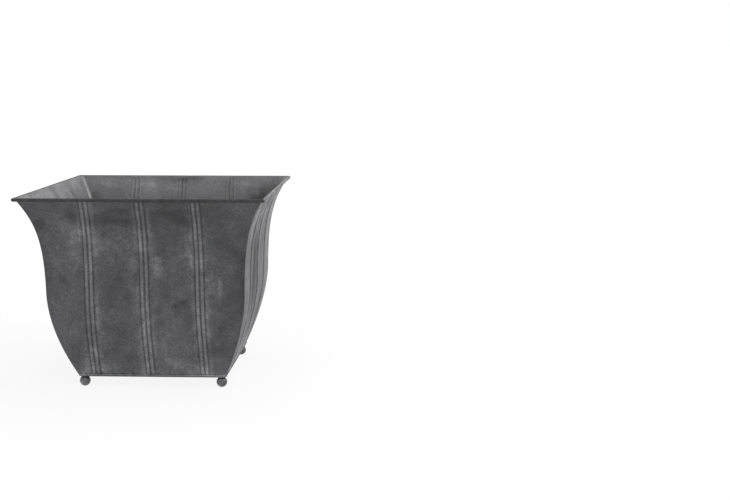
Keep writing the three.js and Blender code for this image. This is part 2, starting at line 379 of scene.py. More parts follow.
def drifted(across, along, drift):
    """Moves a point across with the bands, which are struck by hand and not quite parallel."""
    left, middle, right = drift
    outer = left if across < 0.0 else right
    shift = middle + (outer - middle) * min(abs(across) / band_places[2], 1.0)
    return shift * fade(abs(across), *drift_end) * (1.0 - along / wall_length)


fine_column = 0.0005
band_columns = round(band_edge / fine_column)
field_columns = 16
edge_columns = 18
corner_columns = 4
wall_rows = 106
hem_rows = 30


def columns():
    """Where the blank's columns lie: a fixed distance across, a share of what is left of the
    panel's half width beyond that, a share of the rounded corner, and the side."""
    inner = band_edge
    outer = band_places[2] - band_edge
    last = band_places[2] + band_edge
    half = [step * fine_column for step in range(1, band_columns)]
    half += [inner + step * ((outer - inner) / field_columns) for step in range(field_columns + 1)]
    half += [outer + step * fine_column for step in range(1, 2 * band_columns + 1)]
    right = [(across, 0.0, 0.0, 1.0) for across in half]
    right += [(last, share / edge_columns, 0.0, 1.0) for share in range(1, edge_columns + 1)]
    right += [(last, 1.0, turn / corner_columns, 1.0) for turn in range(1, corner_columns + 1)]
    left = [(*column[:3], -1.0) for column in reversed(right)]
    return left + [(0.0, 0.0, 0.0, 1.0)] + right


def rows():
    """How far up the sheet the blank's rows lie: fine where the beads end, and round the hem."""
    foot = [0.0, 0.002, 0.0038, 0.0044, 0.0049, 0.0054, 0.0059, 0.0064]
    under_hem = (0.0048, 0.0044, 0.0039, 0.0034, 0.0029, 0.0024, 0.0012, 0.0)
    head = [wall_length - down for down in under_hem]
    wall = [foot[-1] + (head[0] - foot[-1]) * step / wall_rows for step in range(1, wall_rows)]
    hem = [wall_length + hem_inside * hem_turn * step / hem_rows for step in range(1, hem_rows + 1)]
    return foot + wall + head + hem


corner_round = 0.0011
hem_corner_round = 0.0024
hem_corner_blend = 0.006
mitre_gap = 0.00003


def formed(column, along, side, seed):
    """How far across the blank a point was drawn, and where it lies once the sheet is pressed,
    rolled and mitred."""
    fixed, share, turn, hand = column
    point, out = on_sheet(along)
    hemmed = ease(along, wall_length - hem_corner_blend, wall_length)
    rounding = corner_round + (hem_corner_round - corner_round) * hemmed
    flat = point.x - rounding
    across = hand * (fixed + share * (flat - fixed))
    if along < wall_length:
        point = point + out * (pressed(across, along) + dented(across, along, point.x, seed))
    if turn == 0.0:
        moved = across + drifted(across, min(along, wall_length), band_drift[side])
        return across, Vector((moved, -point.x, point.y))
    angle = turn * math.pi / 4.0
    reach = hand * (flat + rounding * math.sin(angle))
    return reach, Vector((reach, -point.x + rounding * (1.0 - math.cos(angle)), point.y))


def in_metres(*marks):
    """Turns marks written in millimetres and stops into metres and stops."""
    return [(*(size / 1000.0 for size in place), stops) for *place, stops in marks]


# Stains, wiped places and painted light: how far across and up the sheet, half width and half height in
# millimetres, and how many stops lighter or darker than the rest. On the front they are stains and wiped
# places, with darker sheet along its right-hand edge. On the right side the dark ones are stains, and the
# light ones, broad along the top, at the foot and along the rear edge, are painted reflection of the white
# surround. The back and the left side have none.
front_marks = in_metres(
    (0, 300, 240, 40, -0.19), (10, 286, 120, 26, -0.30), (-180, 285, 30, 30, -0.25),
    (155, 185, 46, 110, -0.42), (-40, 205, 30, 60, 0.12), (-125, 115, 30, 40, -0.30),
    (135, 70, 30, 40, -0.25), (-60, 14, 60, 16, 0.20), (110, 12, 40, 16, -0.25),
    (-37, 295, 26, 9, -0.45), (-42, 278, 22, 9, -0.42), (-24, 278, 6, 6, -0.35),
    (51, 293, 30, 8, -0.45), (61, 279, 20, 9, -0.55), (-111, 284, 11, 11, -0.62),
    (-165, 272, 10, 14, -0.50), (126, 236, 22, 22, -0.30), (150, 225, 8, 14, -0.35),
    (56, 136, 15, 17, -0.90), (33, 148, 13, 8, -0.44), (21, 126, 8, 12, -0.55),
    (24, 103, 9, 6, -0.51), (-133, 178, 6, 8, -0.77), (-41, 178, 11, 10, -0.51),
    (-28, 148, 9, 9, -0.38), (-45, 130, 24, 20, -0.26), (70, 116, 12, 14, -0.32),
    (-84, 46, 10, 50, 0.45), (160, 169, 12, 62, -0.42), (130, 110, 20, 35, -0.26),
    (145, 145, 12, 16, -0.35), (115, 53, 16, 15, -0.12), (30, 238, 14, 30, -0.22),
    (-107, 243, 11, 22, 0.50), (-111, 222, 9, 24, 0.32), (-73, 238, 9, 24, 0.22),
    (0, 230, 14, 36, 0.28), (0, 128, 10, 45, 0.30), (20, 197, 12, 16, 0.90),
    (-18, 198, 15, 36, 0.30), (77, 226, 7, 38, 0.45), (107, 172, 8, 22, 1.00),
    (122, 162, 3.5, 20, 0.75), (101, 122, 6, 30, 0.35), (-76, 13, 16, 10, 0.40),
    (44, 22, 38, 18, 0.43), (-76, 99, 7, 34, 0.30), (-43, 235, 30, 24, 0.27),
    (14, 246, 6, 34, 0.35), (-10, 60, 12, 50, 0.27), (-105, 30, 14, 30, 0.25),
    (-76, 130, 7, 110, 0.18), (14, 150, 6, 150, 0.24), (103, 80, 6, 60, 0.20),
)
# Painted reflection: the light marks on the right side stand for the white surround mirrored in the sheet; the
# dark ones are stains.
right_stains_and_painted_reflection = in_metres(
    (-60, 140, 26, 34, -0.60), (-38, 185, 24, 40, -0.65), (-65, 225, 16, 16, -0.40),
    (-45, 110, 14, 20, -0.40), (0, 290, 240, 50, 0.50), (0, 30, 200, 50, 0.30),
    (-125, 270, 30, 30, 0.35), (135, 200, 42, 140, 0.75), (-45, 215, 42, 70, -0.40),
    (45, 150, 36, 100, 0.15), (-125, 200, 30, 60, 0.15),
)
side_marks = {"front": front_marks, "right": right_stains_and_painted_reflection, "back": (), "left": ()}

# The same for the inside. On the back, the dark marks towards the right-hand corner are painted shadow of
# the right wall, and the others darken and lighten the sheet near its top. On the left, the light marks are
# painted light from the lamp on the right. Across runs the other way round as seen from inside.
inside_back_painted_shadow_and_marks = in_metres(
    (-146, 266, 40, 22, -0.70), (-160, 282, 26, 24, -0.60), (-180, 300, 16, 30, -0.45),
    (-5, 313, 22, 8, -0.80), (-27, 314, 13, 5, -0.50), (28, 313, 25, 5, -0.35),
    (140, 305, 45, 10, 0.30), (66, 298, 28, 12, 0.40), (25, 297, 18, 8, 0.30),
    (-117, 303, 22, 12, 0.35), (170, 275, 20, 12, -0.40), (-120, 285, 70, 60, -0.28),
    (32, 275, 20, 6, -0.30),
)
# Painted light: the inner left wall is lightened where the lamp on the right falls on it.
inside_left_painted_light = in_metres(
    (30, 295, 230, 70, 0.55), (150, 290, 60, 40, 0.20),
)
inside_marks = {"front": (), "right": (), "back": inside_back_painted_shadow_and_marks, "left": inside_left_painted_light}


# How ragged the marks' edges are, at a coarse and a fine scale, and where they fade out. Then the
# patina's own slow and quicker drift: stops, waves to the metre, and what is added to the seed.
ragged_coarse = 45.0
ragged_fine = 110.0
ragged_fine_share = 0.6
raggedness = 0.65
mark_edge_fade = (0.1, 1.35)
patina_drifts = ((0.1, (13.0, 9.0), 3.0), (0.12, (34.0, 26.0), 5.0))


def scattered(place, move):
    """Two soft noises at a place that have nothing to do with each other."""
    return Vector((noise.noise(place), noise.noise(place + Vector(move))))


def marked(across, along, marks, seed):
    """How many stops lighter or darker a list of marks and a slow drift make the sheet; some marks are painted
    light and shade.
    """
    wander = Vector((across, along, seed))
    twist = scattered(wander * ragged_coarse, (9.0, 4.0, 2.0))
    twist += scattered(wander * ragged_fine, (5.0, 1.0, 7.0)) * ragged_fine_share
    stops = sum(swing * speckle(across, along, rates, seed + own) for swing, rates, own in patina_drifts)
    for middle, height, half_width, half_height, strength in marks:
        off = Vector(((across - middle) / half_width, (along - height) / half_height))
        off += twist * raggedness
        stops += strength * fade(off.length, *mark_edge_fade)
    return stops


# How many stops darker the hem of each side is made, grime together with painted shade that is deepest on
# the front, and the grooves of all but the front, patina in them together with painted shade of the bead
# flanks that is deepest on the right side. The paint of the bands and the darkening in them stop short of the
# hem.
hem_grime_and_shade = {"front": 1.5, "right": 0.2, "back": 0.5, "left": 0.5}
groove_patina_and_shade = {"right": 1.2, "back": 0.6, "left": 0.6}
hem_grime_and_shade_start = 0.0015
groove_patina_and_shade_edge = (0.0007, 0.0029)
band_end = (wall_length - 0.0045, wall_length - 0.001)
# The rest: a stained strip below the rim, wiped sheet beside the bands, a worn and lighter foot of the
# walls, a lighter line just above the tray's lip, and darker mitres. The lighter foot is partly wear and
# partly painted light that lifts the shade on the down-facing foot; the line is painted light in the shade
# of the crack above the lip. Rates are waves to the metre.
stain_height = 0.286
stain_edge = (0.004, 0.022)
stain_rates = (22.0, 60.0)
stain_stops = 0.5
wiped_off = 0.017
wiped_edge = (0.002, 0.012)
wiped_rates = (20.0, 12.0)
wiped_stops = 0.4
foot_wear = (0.0, 0.05)
foot_wear_stops = 0.25
foot_painted_light = (0.0, 0.045)
foot_painted_light_stops = 0.34
lip_crack_painted_light = (0.004, 0.012)
lip_crack_painted_light_stops = 0.35
mitre_darkening = (0.0, 0.009)
mitre_stops = 0.2


def weathered_and_painted_light(across, along, side, mitre, seed):
    """How many stops the outside is lighter or darker at a point: stains, grime and wiped places, and painted
    light and shade.
    """
    stops = marked(across, along, side_marks[side], seed)
    if side != "front":
        patch = speckle(across, along, stain_rates, seed + 11.0)
        stops -= stain_stops * fade(abs(along - stain_height), *stain_edge) * ease(patch, -0.1, 0.4)
        groove = min(abs(abs(across - band) - reach) for band in band_places for reach in (0.0, bead_pitch))
        # Patina and painted shade darken the grooves.
        stops -= groove_patina_and_shade[side] * fade(groove, *groove_patina_and_shade_edge) * fade(along, *band_end)
        wiped = speckle(across, along, wiped_rates, seed + 17.0)
        near = min(abs(abs(across - band) - wiped_off) for band in band_places)
        stops += wiped_stops * fade(near, *wiped_edge) * ease(wiped, 0.0, 0.45)
        stops += foot_wear_stops * fade(along, *foot_wear) * ease(wiped, -0.4, 0.3)
    stops -= mitre_stops * fade(mitre - abs(across), *mitre_darkening)
    # Painted light: the foot of the walls and a line above the tray's lip are lifted out of their shade.
    stops += foot_painted_light_stops * fade(along, *foot_painted_light) + lip_crack_painted_light_stops * fade(along, *lip_crack_painted_light)
    # Grime and painted shade darken the hem.
    return stops - hem_grime_and_shade[side] * ease(along, wall_length - hem_grime_and_shade_start, wall_length)


inside_seed = 50.0


def make_panel(name, side, quarter):
    """Forms a panel from its flat blank, gives it its thickness, and turns it to its own side."""
    places = columns()
    heights = rows()
    last_column = len(places) - 1
    last_row = len(heights) - 1
    seed = 10.0 * quarter
    shape = bmesh.new()
    mark_across = shape.verts.layers.float.new("across")
    mark_along = shape.verts.layers.float.new("along")
    mark_edge = shape.verts.layers.int.new("edge")
    patina_and_light = shape.verts.layers.float.new("patina_and_light")
    bmesh.ops.create_grid(shape, x_segments=last_column, y_segments=last_row, size=1.0)
    for vert in shape.verts:
        column = round((vert.co.x + 1.0) / 2.0 * last_column)
        along = heights[round((vert.co.y + 1.0) / 2.0 * last_row)]
        across, vert.co = formed(places[column], along, side, seed)
        vert[mark_across] = across
        vert[mark_along] = along
        vert[mark_edge] = int(column == last_column) - int(column == 0)
        # The darker and lighter places, painted light and shade among them, go into the mesh as an attribute.
        vert[patina_and_light] = weathered_and_painted_light(across, along, side, on_sheet(along)[0].x, seed)
    shape.normal_update()
    outside = len(shape.faces)
    outside_verts = len(shape.verts)
    bmesh.ops.solidify(shape, geom=shape.faces[:], thickness=sheet)
    for vert in itertools.islice(shape.verts, outside_verts, None):
        if vert[mark_along] < wall_length:
            place = (vert[mark_across], vert[mark_along])
            vert[patina_and_light] = marked(*place, inside_marks[side], seed + inside_seed)
    lay = shape.loops.layers.uv.new("sheet")
    for order, face in enumerate(shape.faces):
        face.material_index = int(outside <= order < 2 * outside)
        for loop in face.loops:
            loop[lay].uv = (loop.vert[mark_across], loop.vert[mark_along])
    for vert in shape.verts:
        if vert[mark_edge]:
            reach = (abs(vert.co.x) + abs(vert.co.y)) / 2.0
            vert.co.x = vert[mark_edge] * (reach - mitre_gap)
            vert.co.y = -reach
    turn_quarters(shape, quarter)
    return finished(name, shape, sharp=60.0)


def turn_quarters(shape, quarter):
    """Turns a shape made at the front, or at its left corner, by quarter turns about the middle."""
    turned = Matrix.Rotation(quarter * math.pi / 2.0, 3, "Z")
    bmesh.ops.rotate(shape, verts=shape.verts, cent=(0.0, 0.0, 0.0), matrix=turned)


def finished(name, shape, sharp):
    """Turns a shape into a piece of the planter, with a crisp edge where faces meet steeply."""
    mesh = bpy.data.meshes.new(name)
    for face in shape.faces:
        face.smooth = True
    shape.to_mesh(mesh)
    shape.free()
    mesh.set_sharp_from_angle(angle=math.radians(sharp))
    piece = bpy.data.objects.new(name, mesh)
    bpy.context.scene.collection.objects.link(piece)
    return piece


def clouds(finish, place, size, detail, stretch=(1.0, 1.0, 1.0), twist=0.0, roughness=0.55, move=0.0):
    """Soft noise about 0, with patches of a size in metres."""
    spread = finish.node("ShaderNodeVectorMath", {"operation": "MULTIPLY"}, {0: place, 1: stretch})
    moved = finish.node("ShaderNodeVectorMath", {"operation": "ADD"}, {0: spread, 1: (move, move, move)})
    values = {"Vector": moved, "Scale": 1.0 / size, "Detail": detail, "Roughness": roughness}
    values["Distortion"] = twist
    return finish.node("ShaderNodeTexNoise", {}, values) - 0.5


def tinted(finish, colour, stops):
    """A colour made so many stops lighter or darker."""
    gain = finish.sum("POWER", 2.0, stops)
    return finish.node("ShaderNodeVectorMath", {"operation": "SCALE"}, {0: colour, 3: gain})


def bumped(finish, height, strength, distance):
    """A normal that follows a fine relief."""
    values = {"Strength": strength, "Distance": distance, "Height": height}
    return finish.node("ShaderNodeBump", {}, values)


zinc_colour = (0.110, 0.1105, 0.1155)
# Painted light: the inside of the same sheet is given a lighter colour than the outside, for the light that
# falls into the planter.
zinc_inside_colour = (0.176, 0.1745, 0.180)
# How many stops each layer of the patina swings: drift, smoke, spots, and how far the smoke breaks up
# the marks. The tray is "plain".
patina_swing = {
    "outside": (1.5, 1.4, 2.7, 2.0),
    "inside": (0.9, 0.5, 2.0, 0.8),
    "plain": (1.5, 1.4, 2.7, 2.0),
}
gloss = {"outside": 0.38, "inside": 0.38, "plain": 0.2}
groove_dark = (0.0003, 0.0014, 1.0, 0.0)
middle_groove = (0.0018, 0.0024, 0.1, 1.0)
crest_bright = (0.0014, 0.0026, 1.0, 0.0)
shoulder_place = bead_pitch + 0.0036
shoulder_bright = (0.0006, 0.0050, 1.0, 0.0)
lip_wear_and_highlight = (0.0208, 0.0216)
bend_painted_shade = (0.0176, 0.0186, 0.9, 0.0)


def aged_zinc(name, colour, face):
    """Dull grey zinc: cloudy patina, rubbed lighter on the beads and left dark in the grooves."""
    finish = Finish(bpy.data.materials.new(name))
    place = finish.node("ShaderNodeTexCoord", {}, {}, output="Object")
    drift = clouds(finish, place, 0.09, 3.0, twist=0.6)
    smoke = clouds(finish, place, 0.028, 4.0, stretch=(1.0, 1.0, 0.55), twist=0.8, move=3.0)
    mottle = clouds(finish, place, 0.007, 3.0, roughness=0.65)
    grain = clouds(finish, place, 0.0019, 2.0, roughness=0.6)
    drift_swing, smoke_swing, spot_swing, break_up = patina_swing[face]
    stops = drift * drift_swing + smoke * smoke_swing + mottle * (spot_swing * 0.4) + grain * spot_swing
    rubbed = finish.rise(smoke, 0.02, 0.25)
    rough = 0.6 - mottle * 0.15
    if face == "plain":
        height = finish.node("ShaderNodeSeparateXYZ", {}, {0: place}, output="Z")
        # Painted highlight together with wear: the lip's top edge is lighter. Painted shade: the floor and the
        # bend at the tray's foot are darker, to hold down the bright floor's reflection there.
        lip = finish.rise(height, *lip_wear_and_highlight)
        stops = stops + lip * (0.66 + smoke) - finish.rise(height, *bend_painted_shade)
        rubbed = rubbed.most(lip)
    else:
        # The mesh's darker and lighter places: stains and grime, with painted light and shade.
        weather_and_light = finish.node("ShaderNodeAttribute", {"attribute_name": "patina_and_light"}, {}, output="Fac")
        stops = stops + weather_and_light * (1.0 + smoke * break_up + mottle * 1.6)
        rough = rough - weather_and_light * 0.2
        sheet_map = finish.node("ShaderNodeUVMap", {"uv_map": "sheet"}, {})
        across = finish.node("ShaderNodeSeparateXYZ", {}, {0: sheet_map}, output="X")
        along = finish.node("ShaderNodeSeparateXYZ", {}, {0: sheet_map}, output="Y")
        on_band = finish.rise(along, *band_end, 1.0, 0.0)
        nearest = round(across / band_places[2]).capped(-1.0, 1.0)
        off = abs(across - nearest * band_places[2])
        groove = off.least(abs(off - bead_pitch))
        dark = finish.rise(groove, *groove_dark) * on_band
    if face == "inside":
        stops = stops + dark * smoke
    if face == "outside":
        crest = finish.rise(abs(off - bead_pitch / 2.0), *crest_bright) * on_band
        shoulder = finish.rise(abs(off - shoulder_place), *shoulder_bright) * on_band
        dark = dark * finish.rise(off, *middle_groove)
        stops = stops + crest * (0.84 + smoke * 1.5) - dark * (0.42 - drift - smoke * 1.6)
        stops = stops + shoulder * (0.26 + smoke * 2.0)
        rubbed = rubbed.most(crest)
    shader = finish.built_in("ShaderNodeBsdfPrincipled")
    shader.inputs["Specular IOR Level"].default_value = gloss[face]
    finish.feed(shader.inputs["Base Color"], tinted(finish, colour, stops))
    finish.feed(shader.inputs["Metallic"], 0.1 + rubbed * 0.25)
    finish.feed(shader.inputs["Roughness"], rough.capped(0.4, 0.85))
    finish.feed(shader.inputs["Normal"], bumped(finish, mottle * 0.6 + grain * 0.35, 0.5, 0.0003))
    return finish.owner


sides = ("front", "right", "back", "left")
outside_zinc = aged_zinc("aged_zinc_outside", zinc_colour, "outside")
inside_zinc = aged_zinc("aged_zinc_inside", zinc_inside_colour, "inside")
for quarter, side in enumerate(sides):
    panel = make_panel(f"{side}_wall_panel", side, quarter)
    panel.data.materials.append(outside_zinc)
    panel.data.materials.append(inside_zinc)
    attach(panel, "root")
    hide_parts(f"{side}_panel")

# --------------------------------------------------------------------------------- Rim wires
# Four lengths of 3.5 mm galvanised steel wire, mitred at the corners. The hems close round them
# and hold them, so only their ends could ever be seen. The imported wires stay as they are.
wire_colour = (0.35, 0.35, 0.34)
wire = Finish(bpy.data.materials.new("galvanised_wire"))
place = wire.node("ShaderNodeTexCoord", {}, {}, output="Object")
spangle = clouds(wire, place, 0.004, 3.0, roughness=0.6)
wire_shader = wire.built_in("ShaderNodeBsdfPrincipled")
wire.feed(wire_shader.inputs["Base Color"], tinted(wire, wire_colour, spangle * 1.2))
wire.feed(wire_shader.inputs["Roughness"], 0.45 + spangle * 0.4)
wire_shader.inputs["Metallic"].default_value = 0.9
for side in sides:
    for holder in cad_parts[f"rim_wire_{side}"].material_slots:
        holder.material = wire.owner

# ------------------------------------------------------------------------------ Corner solder
# A run of solder wiped into each inner corner, from the tray to the hem. It has a dished, lumpy
# face with thin edges, and is brighter than the sheet beside it.
seam_leg = 0.0061
seam_dish = 0.0011
seam_sink = 0.0002
seam_lumpiness = 0.16
seam_lump_rates = (55.0, 190.0)
seam_drop_rates = (120.0, 3.0)
seam_foot_fade = (-0.004, 0.002)
seam_head_fade = (0.0, 0.0025)
seam_start = 0.0004
seam_end = wall_length - 0.0002
seam_face_steps = 9
seam_rows = 120


def pulled(shape, ring, move):
    """Extrudes a ring of edges, moves each new point by a rule, and gives back the new ring."""
    made = bmesh.ops.extrude_edge_only(shape, edges=ring)["geom"]
    for vert in (part for part in made if isinstance(part, bmesh.types.BMVert)):
        vert.co = move(vert)
    return [part for part in made if isinstance(part, bmesh.types.BMEdge)]


def seam_point(step, along, seed):
    """A point of the solder's section at a height up the sheet, for the front left corner."""
    point, out = on_sheet(along)
    inner = point - out * (sheet - seam_sink)
    tip = ease(wall_length - along, *seam_head_fade) * ease(along, *seam_foot_fade)
    lumps = noise.noise(Vector((along * seam_lump_rates[0], seed, 0.0)))
    lumps += 0.5 * noise.noise(Vector((along * seam_lump_rates[1], seed, 4.0)))
    leg = seam_leg * (1.0 + seam_lumpiness * lumps) * (0.25 + 0.75 * tip)
    if step == 0:
        return Vector((-inner.x, -inner.x, inner.y))
    share = (step - 1) / (seam_face_steps - 1)
    drop = speckle(along, share, seam_drop_rates, seed + 8.0)
    dish = (seam_dish * (1.0 + 0.25 * lumps) + 0.0003 * drop) * math.sin(math.pi * share) ** 0.7
    right = leg * (1.0 - share) * (1.0 + 0.08 * drop) - dish * 0.7
    left = leg * share * (1.0 + 0.08 * drop) - dish * 0.7
    return Vector((-inner.x + max(right, 0.0), -inner.x + max(left, 0.0), inner.y))


def make_seam(name, quarter):
    """Draws the solder's section up the corner, and closes both ends."""
    seed = 31.0 + quarter
    shape = bmesh.new()
    step_of = shape.verts.layers.int.new("step")
    ring = bmesh.ops.create_circle(shape, segments=seam_face_steps + 1, radius=1.0)["verts"]
    for step, vert in enumerate(ring):
        vert[step_of] = step
        vert.co = seam_point(step, seam_start, seed)
    edges = shape.edges[:]
    bmesh.ops.contextual_create(shape, geom=edges)
    for row in range(1, seam_rows + 1):
        along = seam_start + (seam_end - seam_start) * row / seam_rows
        edges = pulled(shape, edges, lambda vert: seam_point(vert[step_of], along, seed))
    bmesh.ops.contextual_create(shape, geom=edges)
    bmesh.ops.recalc_face_normals(shape, faces=shape.faces[:])
    turn_quarters(shape, quarter)
    return finished(name, shape, sharp=50.0)


solder_colour = (0.198, 0.193, 0.196)
solder = Finish(bpy.data.materials.new("wiped_solder"))
place = solder.node("ShaderNodeTexCoord", {}, {}, output="Object")
drift = clouds(solder, place, 0.03, 3.0, twist=0.6)
mottle = clouds(solder, place, 0.005, 3.0, roughness=0.65)
grain = clouds(solder, place, 0.0016, 2.0)
stops = drift + mottle * 1.9 + grain * 2.8
solder_shader = solder.built_in("ShaderNodeBsdfPrincipled")
solder.feed(solder_shader.inputs["Base Color"], tinted(solder, solder_colour, stops))
solder.feed(solder_shader.inputs["Metallic"], 0.3 + solder.rise(mottle, 0.0, 0.2) * 0.3)
solder.feed(solder_shader.inputs["Roughness"], 0.46 + drift * 0.4)
solder.feed(solder_shader.inputs["Normal"], bumped(solder, mottle * 0.7 + grain * 0.3, 0.5, 0.0003))

corners = ("front_left", "front_right", "back_right", "back_left")
for quarter, corner in enumerate(corners):
    seam = make_seam(f"solder_run_{corner}", quarter)
    seam.data.materials.append(solder.owner)
    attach(seam, "root")
    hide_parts(f"corner_seam_{corner}")

# -------------------------------------------------------------------------------------- Tray
# The floor is a shallow square tray of the same sheet, pressed up at its edges into a low lip
# that grips the panels from outside. The lip's edge is rolled, and the drain holes are dished.
tray_bottom = 0.01745
tray_half = 0.1245
tray_corner = 0.0022
bend_radius = 0.0014
lip_top = 0.0222
lip_lean = math.radians(25.0)
lip_roll = 0.0004
lip_roll_height = 0.0013
lip_return = (0.0003, 0.00012)
drain_radius = 0.005
drain_dish_radius = 0.0095
drain_dish = 0.0006
drain_spacing = 0.062
foot_place = 0.1161
screw_hole_radius = 0.00225
tray_margin = 0.0018
bend_steps = 6
slope_steps = 3
roll_steps = 6
dish_steps = 6
drain_segments = 40
screw_hole_segments = 24
tray_colour = (0.21, 0.2105, 0.219)


def square_ring(shape, half, height, radius):
    """The edges of a square with rounded corners, the first thing drawn in a shape."""
    tips = bmesh.ops.create_grid(shape, x_segments=1, y_segments=1, size=half)["verts"]
    bmesh.ops.bevel(
        shape, geom=tips, affect="VERTICES", offset=radius, segments=8, profile=0.5, material=-1,
    )
    bmesh.ops.translate(shape, verts=shape.verts, vec=(0.0, 0.0, height))
    bmesh.ops.delete(shape, geom=shape.faces[:], context="FACES_ONLY")
    return shape.edges[:]


def widened(vert, half, radius, out, height):
    """Moves a point of a square ring straight out from the ring, and up."""
    core = half - radius
    middle = Vector((math.copysign(core, vert.co.x), math.copysign(core, vert.co.y), 0.0))
    spoke = Vector((vert.co.x, vert.co.y, 0.0)) - middle
    placed = middle + spoke.normalized() * (radius + out)
    return Vector((placed.x, placed.y, height))


def round_edges(shape, segments, radius, x, y, height):
    """The edges of a circle drawn about a point."""
    matrix = Matrix.Translation((x, y, height))
    ring = bmesh.ops.create_circle(shape, segments=segments, radius=radius, matrix=matrix)["verts"]
    return list(dict.fromkeys(edge for vert in ring for edge in vert.link_edges))


def reached(vert, x, y, radius, height):
    """Moves a point straight out from a point of the floor to a radius, and to a height."""
    spoke = Vector((vert.co.x - x, vert.co.y - y, 0.0)).normalized()
    return Vector((x, y, height)) + spoke * radius


def at_corners(spacing):
    """Four places, so far left and right and in front and behind the middle."""
    return [(x * spacing, y * spacing) for x in (-1, 1) for y in (-1, 1)]


def lip_path():
    """How far out from the flat floor, and how high, the tray's outer face runs up to its edge."""
    bend = math.pi / 2.0 - lip_lean
    slope = math.tan(lip_lean)
    flat = tray_half - bend_radius * math.tan(bend / 2.0)
    path = [(flat, tray_bottom)]
    for step in range(1, bend_steps + 1):
        turn = bend * step / bend_steps
        rise = bend_radius * (1.0 - math.cos(turn))
        path.append((flat + bend_radius * math.sin(turn), tray_bottom + rise))
    out, height = path[-1]
    roll_start = lip_top - lip_roll_height
    for step in range(1, slope_steps + 1):
        level = height + (roll_start - height) * step / slope_steps
        path.append((out + (level - height) * slope, level))
    for step in range(1, roll_steps + 1):
        level = roll_start + lip_roll_height * step / roll_steps
        bulge = lip_roll * math.sin(math.pi * step / roll_steps)
        path.append((out + (level - height) * slope + bulge, level + 0.1 * bulge))
    out, height = path[-1]
    return [*path, (out - lip_return[0], height + lip_return[1])]


def make_tray(name):
    """Bends the lip up from the floor's edge, fills the floor round its holes, and thickens it."""
    shape = bmesh.new()
    path = lip_path()
    flat = path[0][0] - tray_margin
    ring = square_ring(shape, flat, tray_bottom, tray_corner)
    floor_edges = list(ring)
    for out, height in path:
        ring = pulled(shape, ring, lambda vert: widened(vert, flat, tray_corner, out - flat, height))
    for x, y in [(0.0, 0.0), *at_corners(drain_spacing)]:
        ring = round_edges(shape, drain_segments, drain_dish_radius, x, y, tray_bottom)
        floor_edges += ring
        for step in range(1, dish_steps + 1):
            share = step / dish_steps
            radius = drain_dish_radius + (drain_radius - drain_dish_radius) * share
            level = tray_bottom - drain_dish * ease(share, 0.0, 1.0)
            ring = pulled(shape, ring, lambda vert: reached(vert, x, y, radius, level))
    for x, y in at_corners(foot_place):
        floor_edges += round_edges(shape, screw_hole_segments, screw_hole_radius, x, y, tray_bottom)
    bmesh.ops.triangle_fill(
        shape, use_beauty=True, use_dissolve=False, edges=floor_edges, normal=(0.0, 0.0, -1.0),
    )
    bmesh.ops.recalc_face_normals(shape, faces=shape.faces[:])
    lowest = min(shape.faces, key=lambda face: face.calc_center_median().z)
    if lowest.normal.z > 0.0:
        bmesh.ops.reverse_faces(shape, faces=shape.faces[:])
    shape.normal_update()
    bmesh.ops.solidify(shape, geom=shape.faces[:], thickness=sheet)
    return finished(name, shape, sharp=40.0)


tray_zinc = aged_zinc("aged_zinc_tray", tray_colour, "plain")
tray = make_tray("floor_tray")
tray.data.materials.append(tray_zinc)
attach(tray, "root")
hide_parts("base_tray")

# --------------------------------------------------------------------------------- Ball feet
# Four turned ball feet of the same dull metal, each with a short neck that seats on the tray's
# underside, a small flat to stand on, and a blind hole for its screw.
ball_radius = 0.009
ball_middle = 0.0086
neck_radius = 0.0045
foot_top = 0.01715
neck_fillet = 0.0009
neck_lip = 0.0001
neck_lip_height = 0.0004
neck_chamfer = 0.00015
foot_hole_bottom = 0.00805
foot_hole_point = 0.0011
foot_steps = 28
foot_segments = 48
same_point = 1e-7


def foot_profile():
    """The foot's outline as distance from its axis and height, from the flat up and into the hole."""
    flat = -math.asin(ball_middle / ball_radius)
    neck = math.acos((neck_radius + neck_fillet * 0.6) / ball_radius)
    profile = [(0.0, 0.0)]
    for step in range(foot_steps + 1):
        turn = flat + (neck - flat) * step / foot_steps
        profile.append((ball_radius * math.cos(turn), ball_middle + ball_radius * math.sin(turn)))
    profile.append((neck_radius + neck_lip, foot_top - neck_lip_height))
    profile += [(neck_radius, foot_top - neck_chamfer), (neck_radius - neck_chamfer, foot_top)]
    profile += [(screw_hole_radius, foot_top), (screw_hole_radius, foot_hole_bottom)]
    return [*profile, (0.0, foot_hole_bottom - foot_hole_point)]


def spun(shape, profile, steps):
    """Spins an outline, given as distance from the axis and height, into a solid about the Z axis."""
    verts = [shape.verts.new((out, 0.0, height)) for out, height in profile]
    edges = [shape.edges.new(pair) for pair in itertools.pairwise(verts)]
    if profile[0][0] > 0.0:
        edges.append(shape.edges.new((verts[-1], verts[0])))
    bmesh.ops.spin(
        shape, geom=verts + edges, axis=(0.0, 0.0, 1.0), cent=(0.0, 0.0, 0.0),
        angle=2.0 * math.pi, steps=steps, use_merge=True,
    )
    bmesh.ops.remove_doubles(shape, verts=shape.verts[:], dist=same_point)
    bmesh.ops.recalc_face_normals(shape, faces=shape.faces[:])


def at_corner(shape, quarter):
    """Moves a shape from the Z axis to a foot's place."""
    bmesh.ops.translate(shape, verts=shape.verts, vec=(-foot_place, -foot_place, 0.0))
    turn_quarters(shape, quarter)


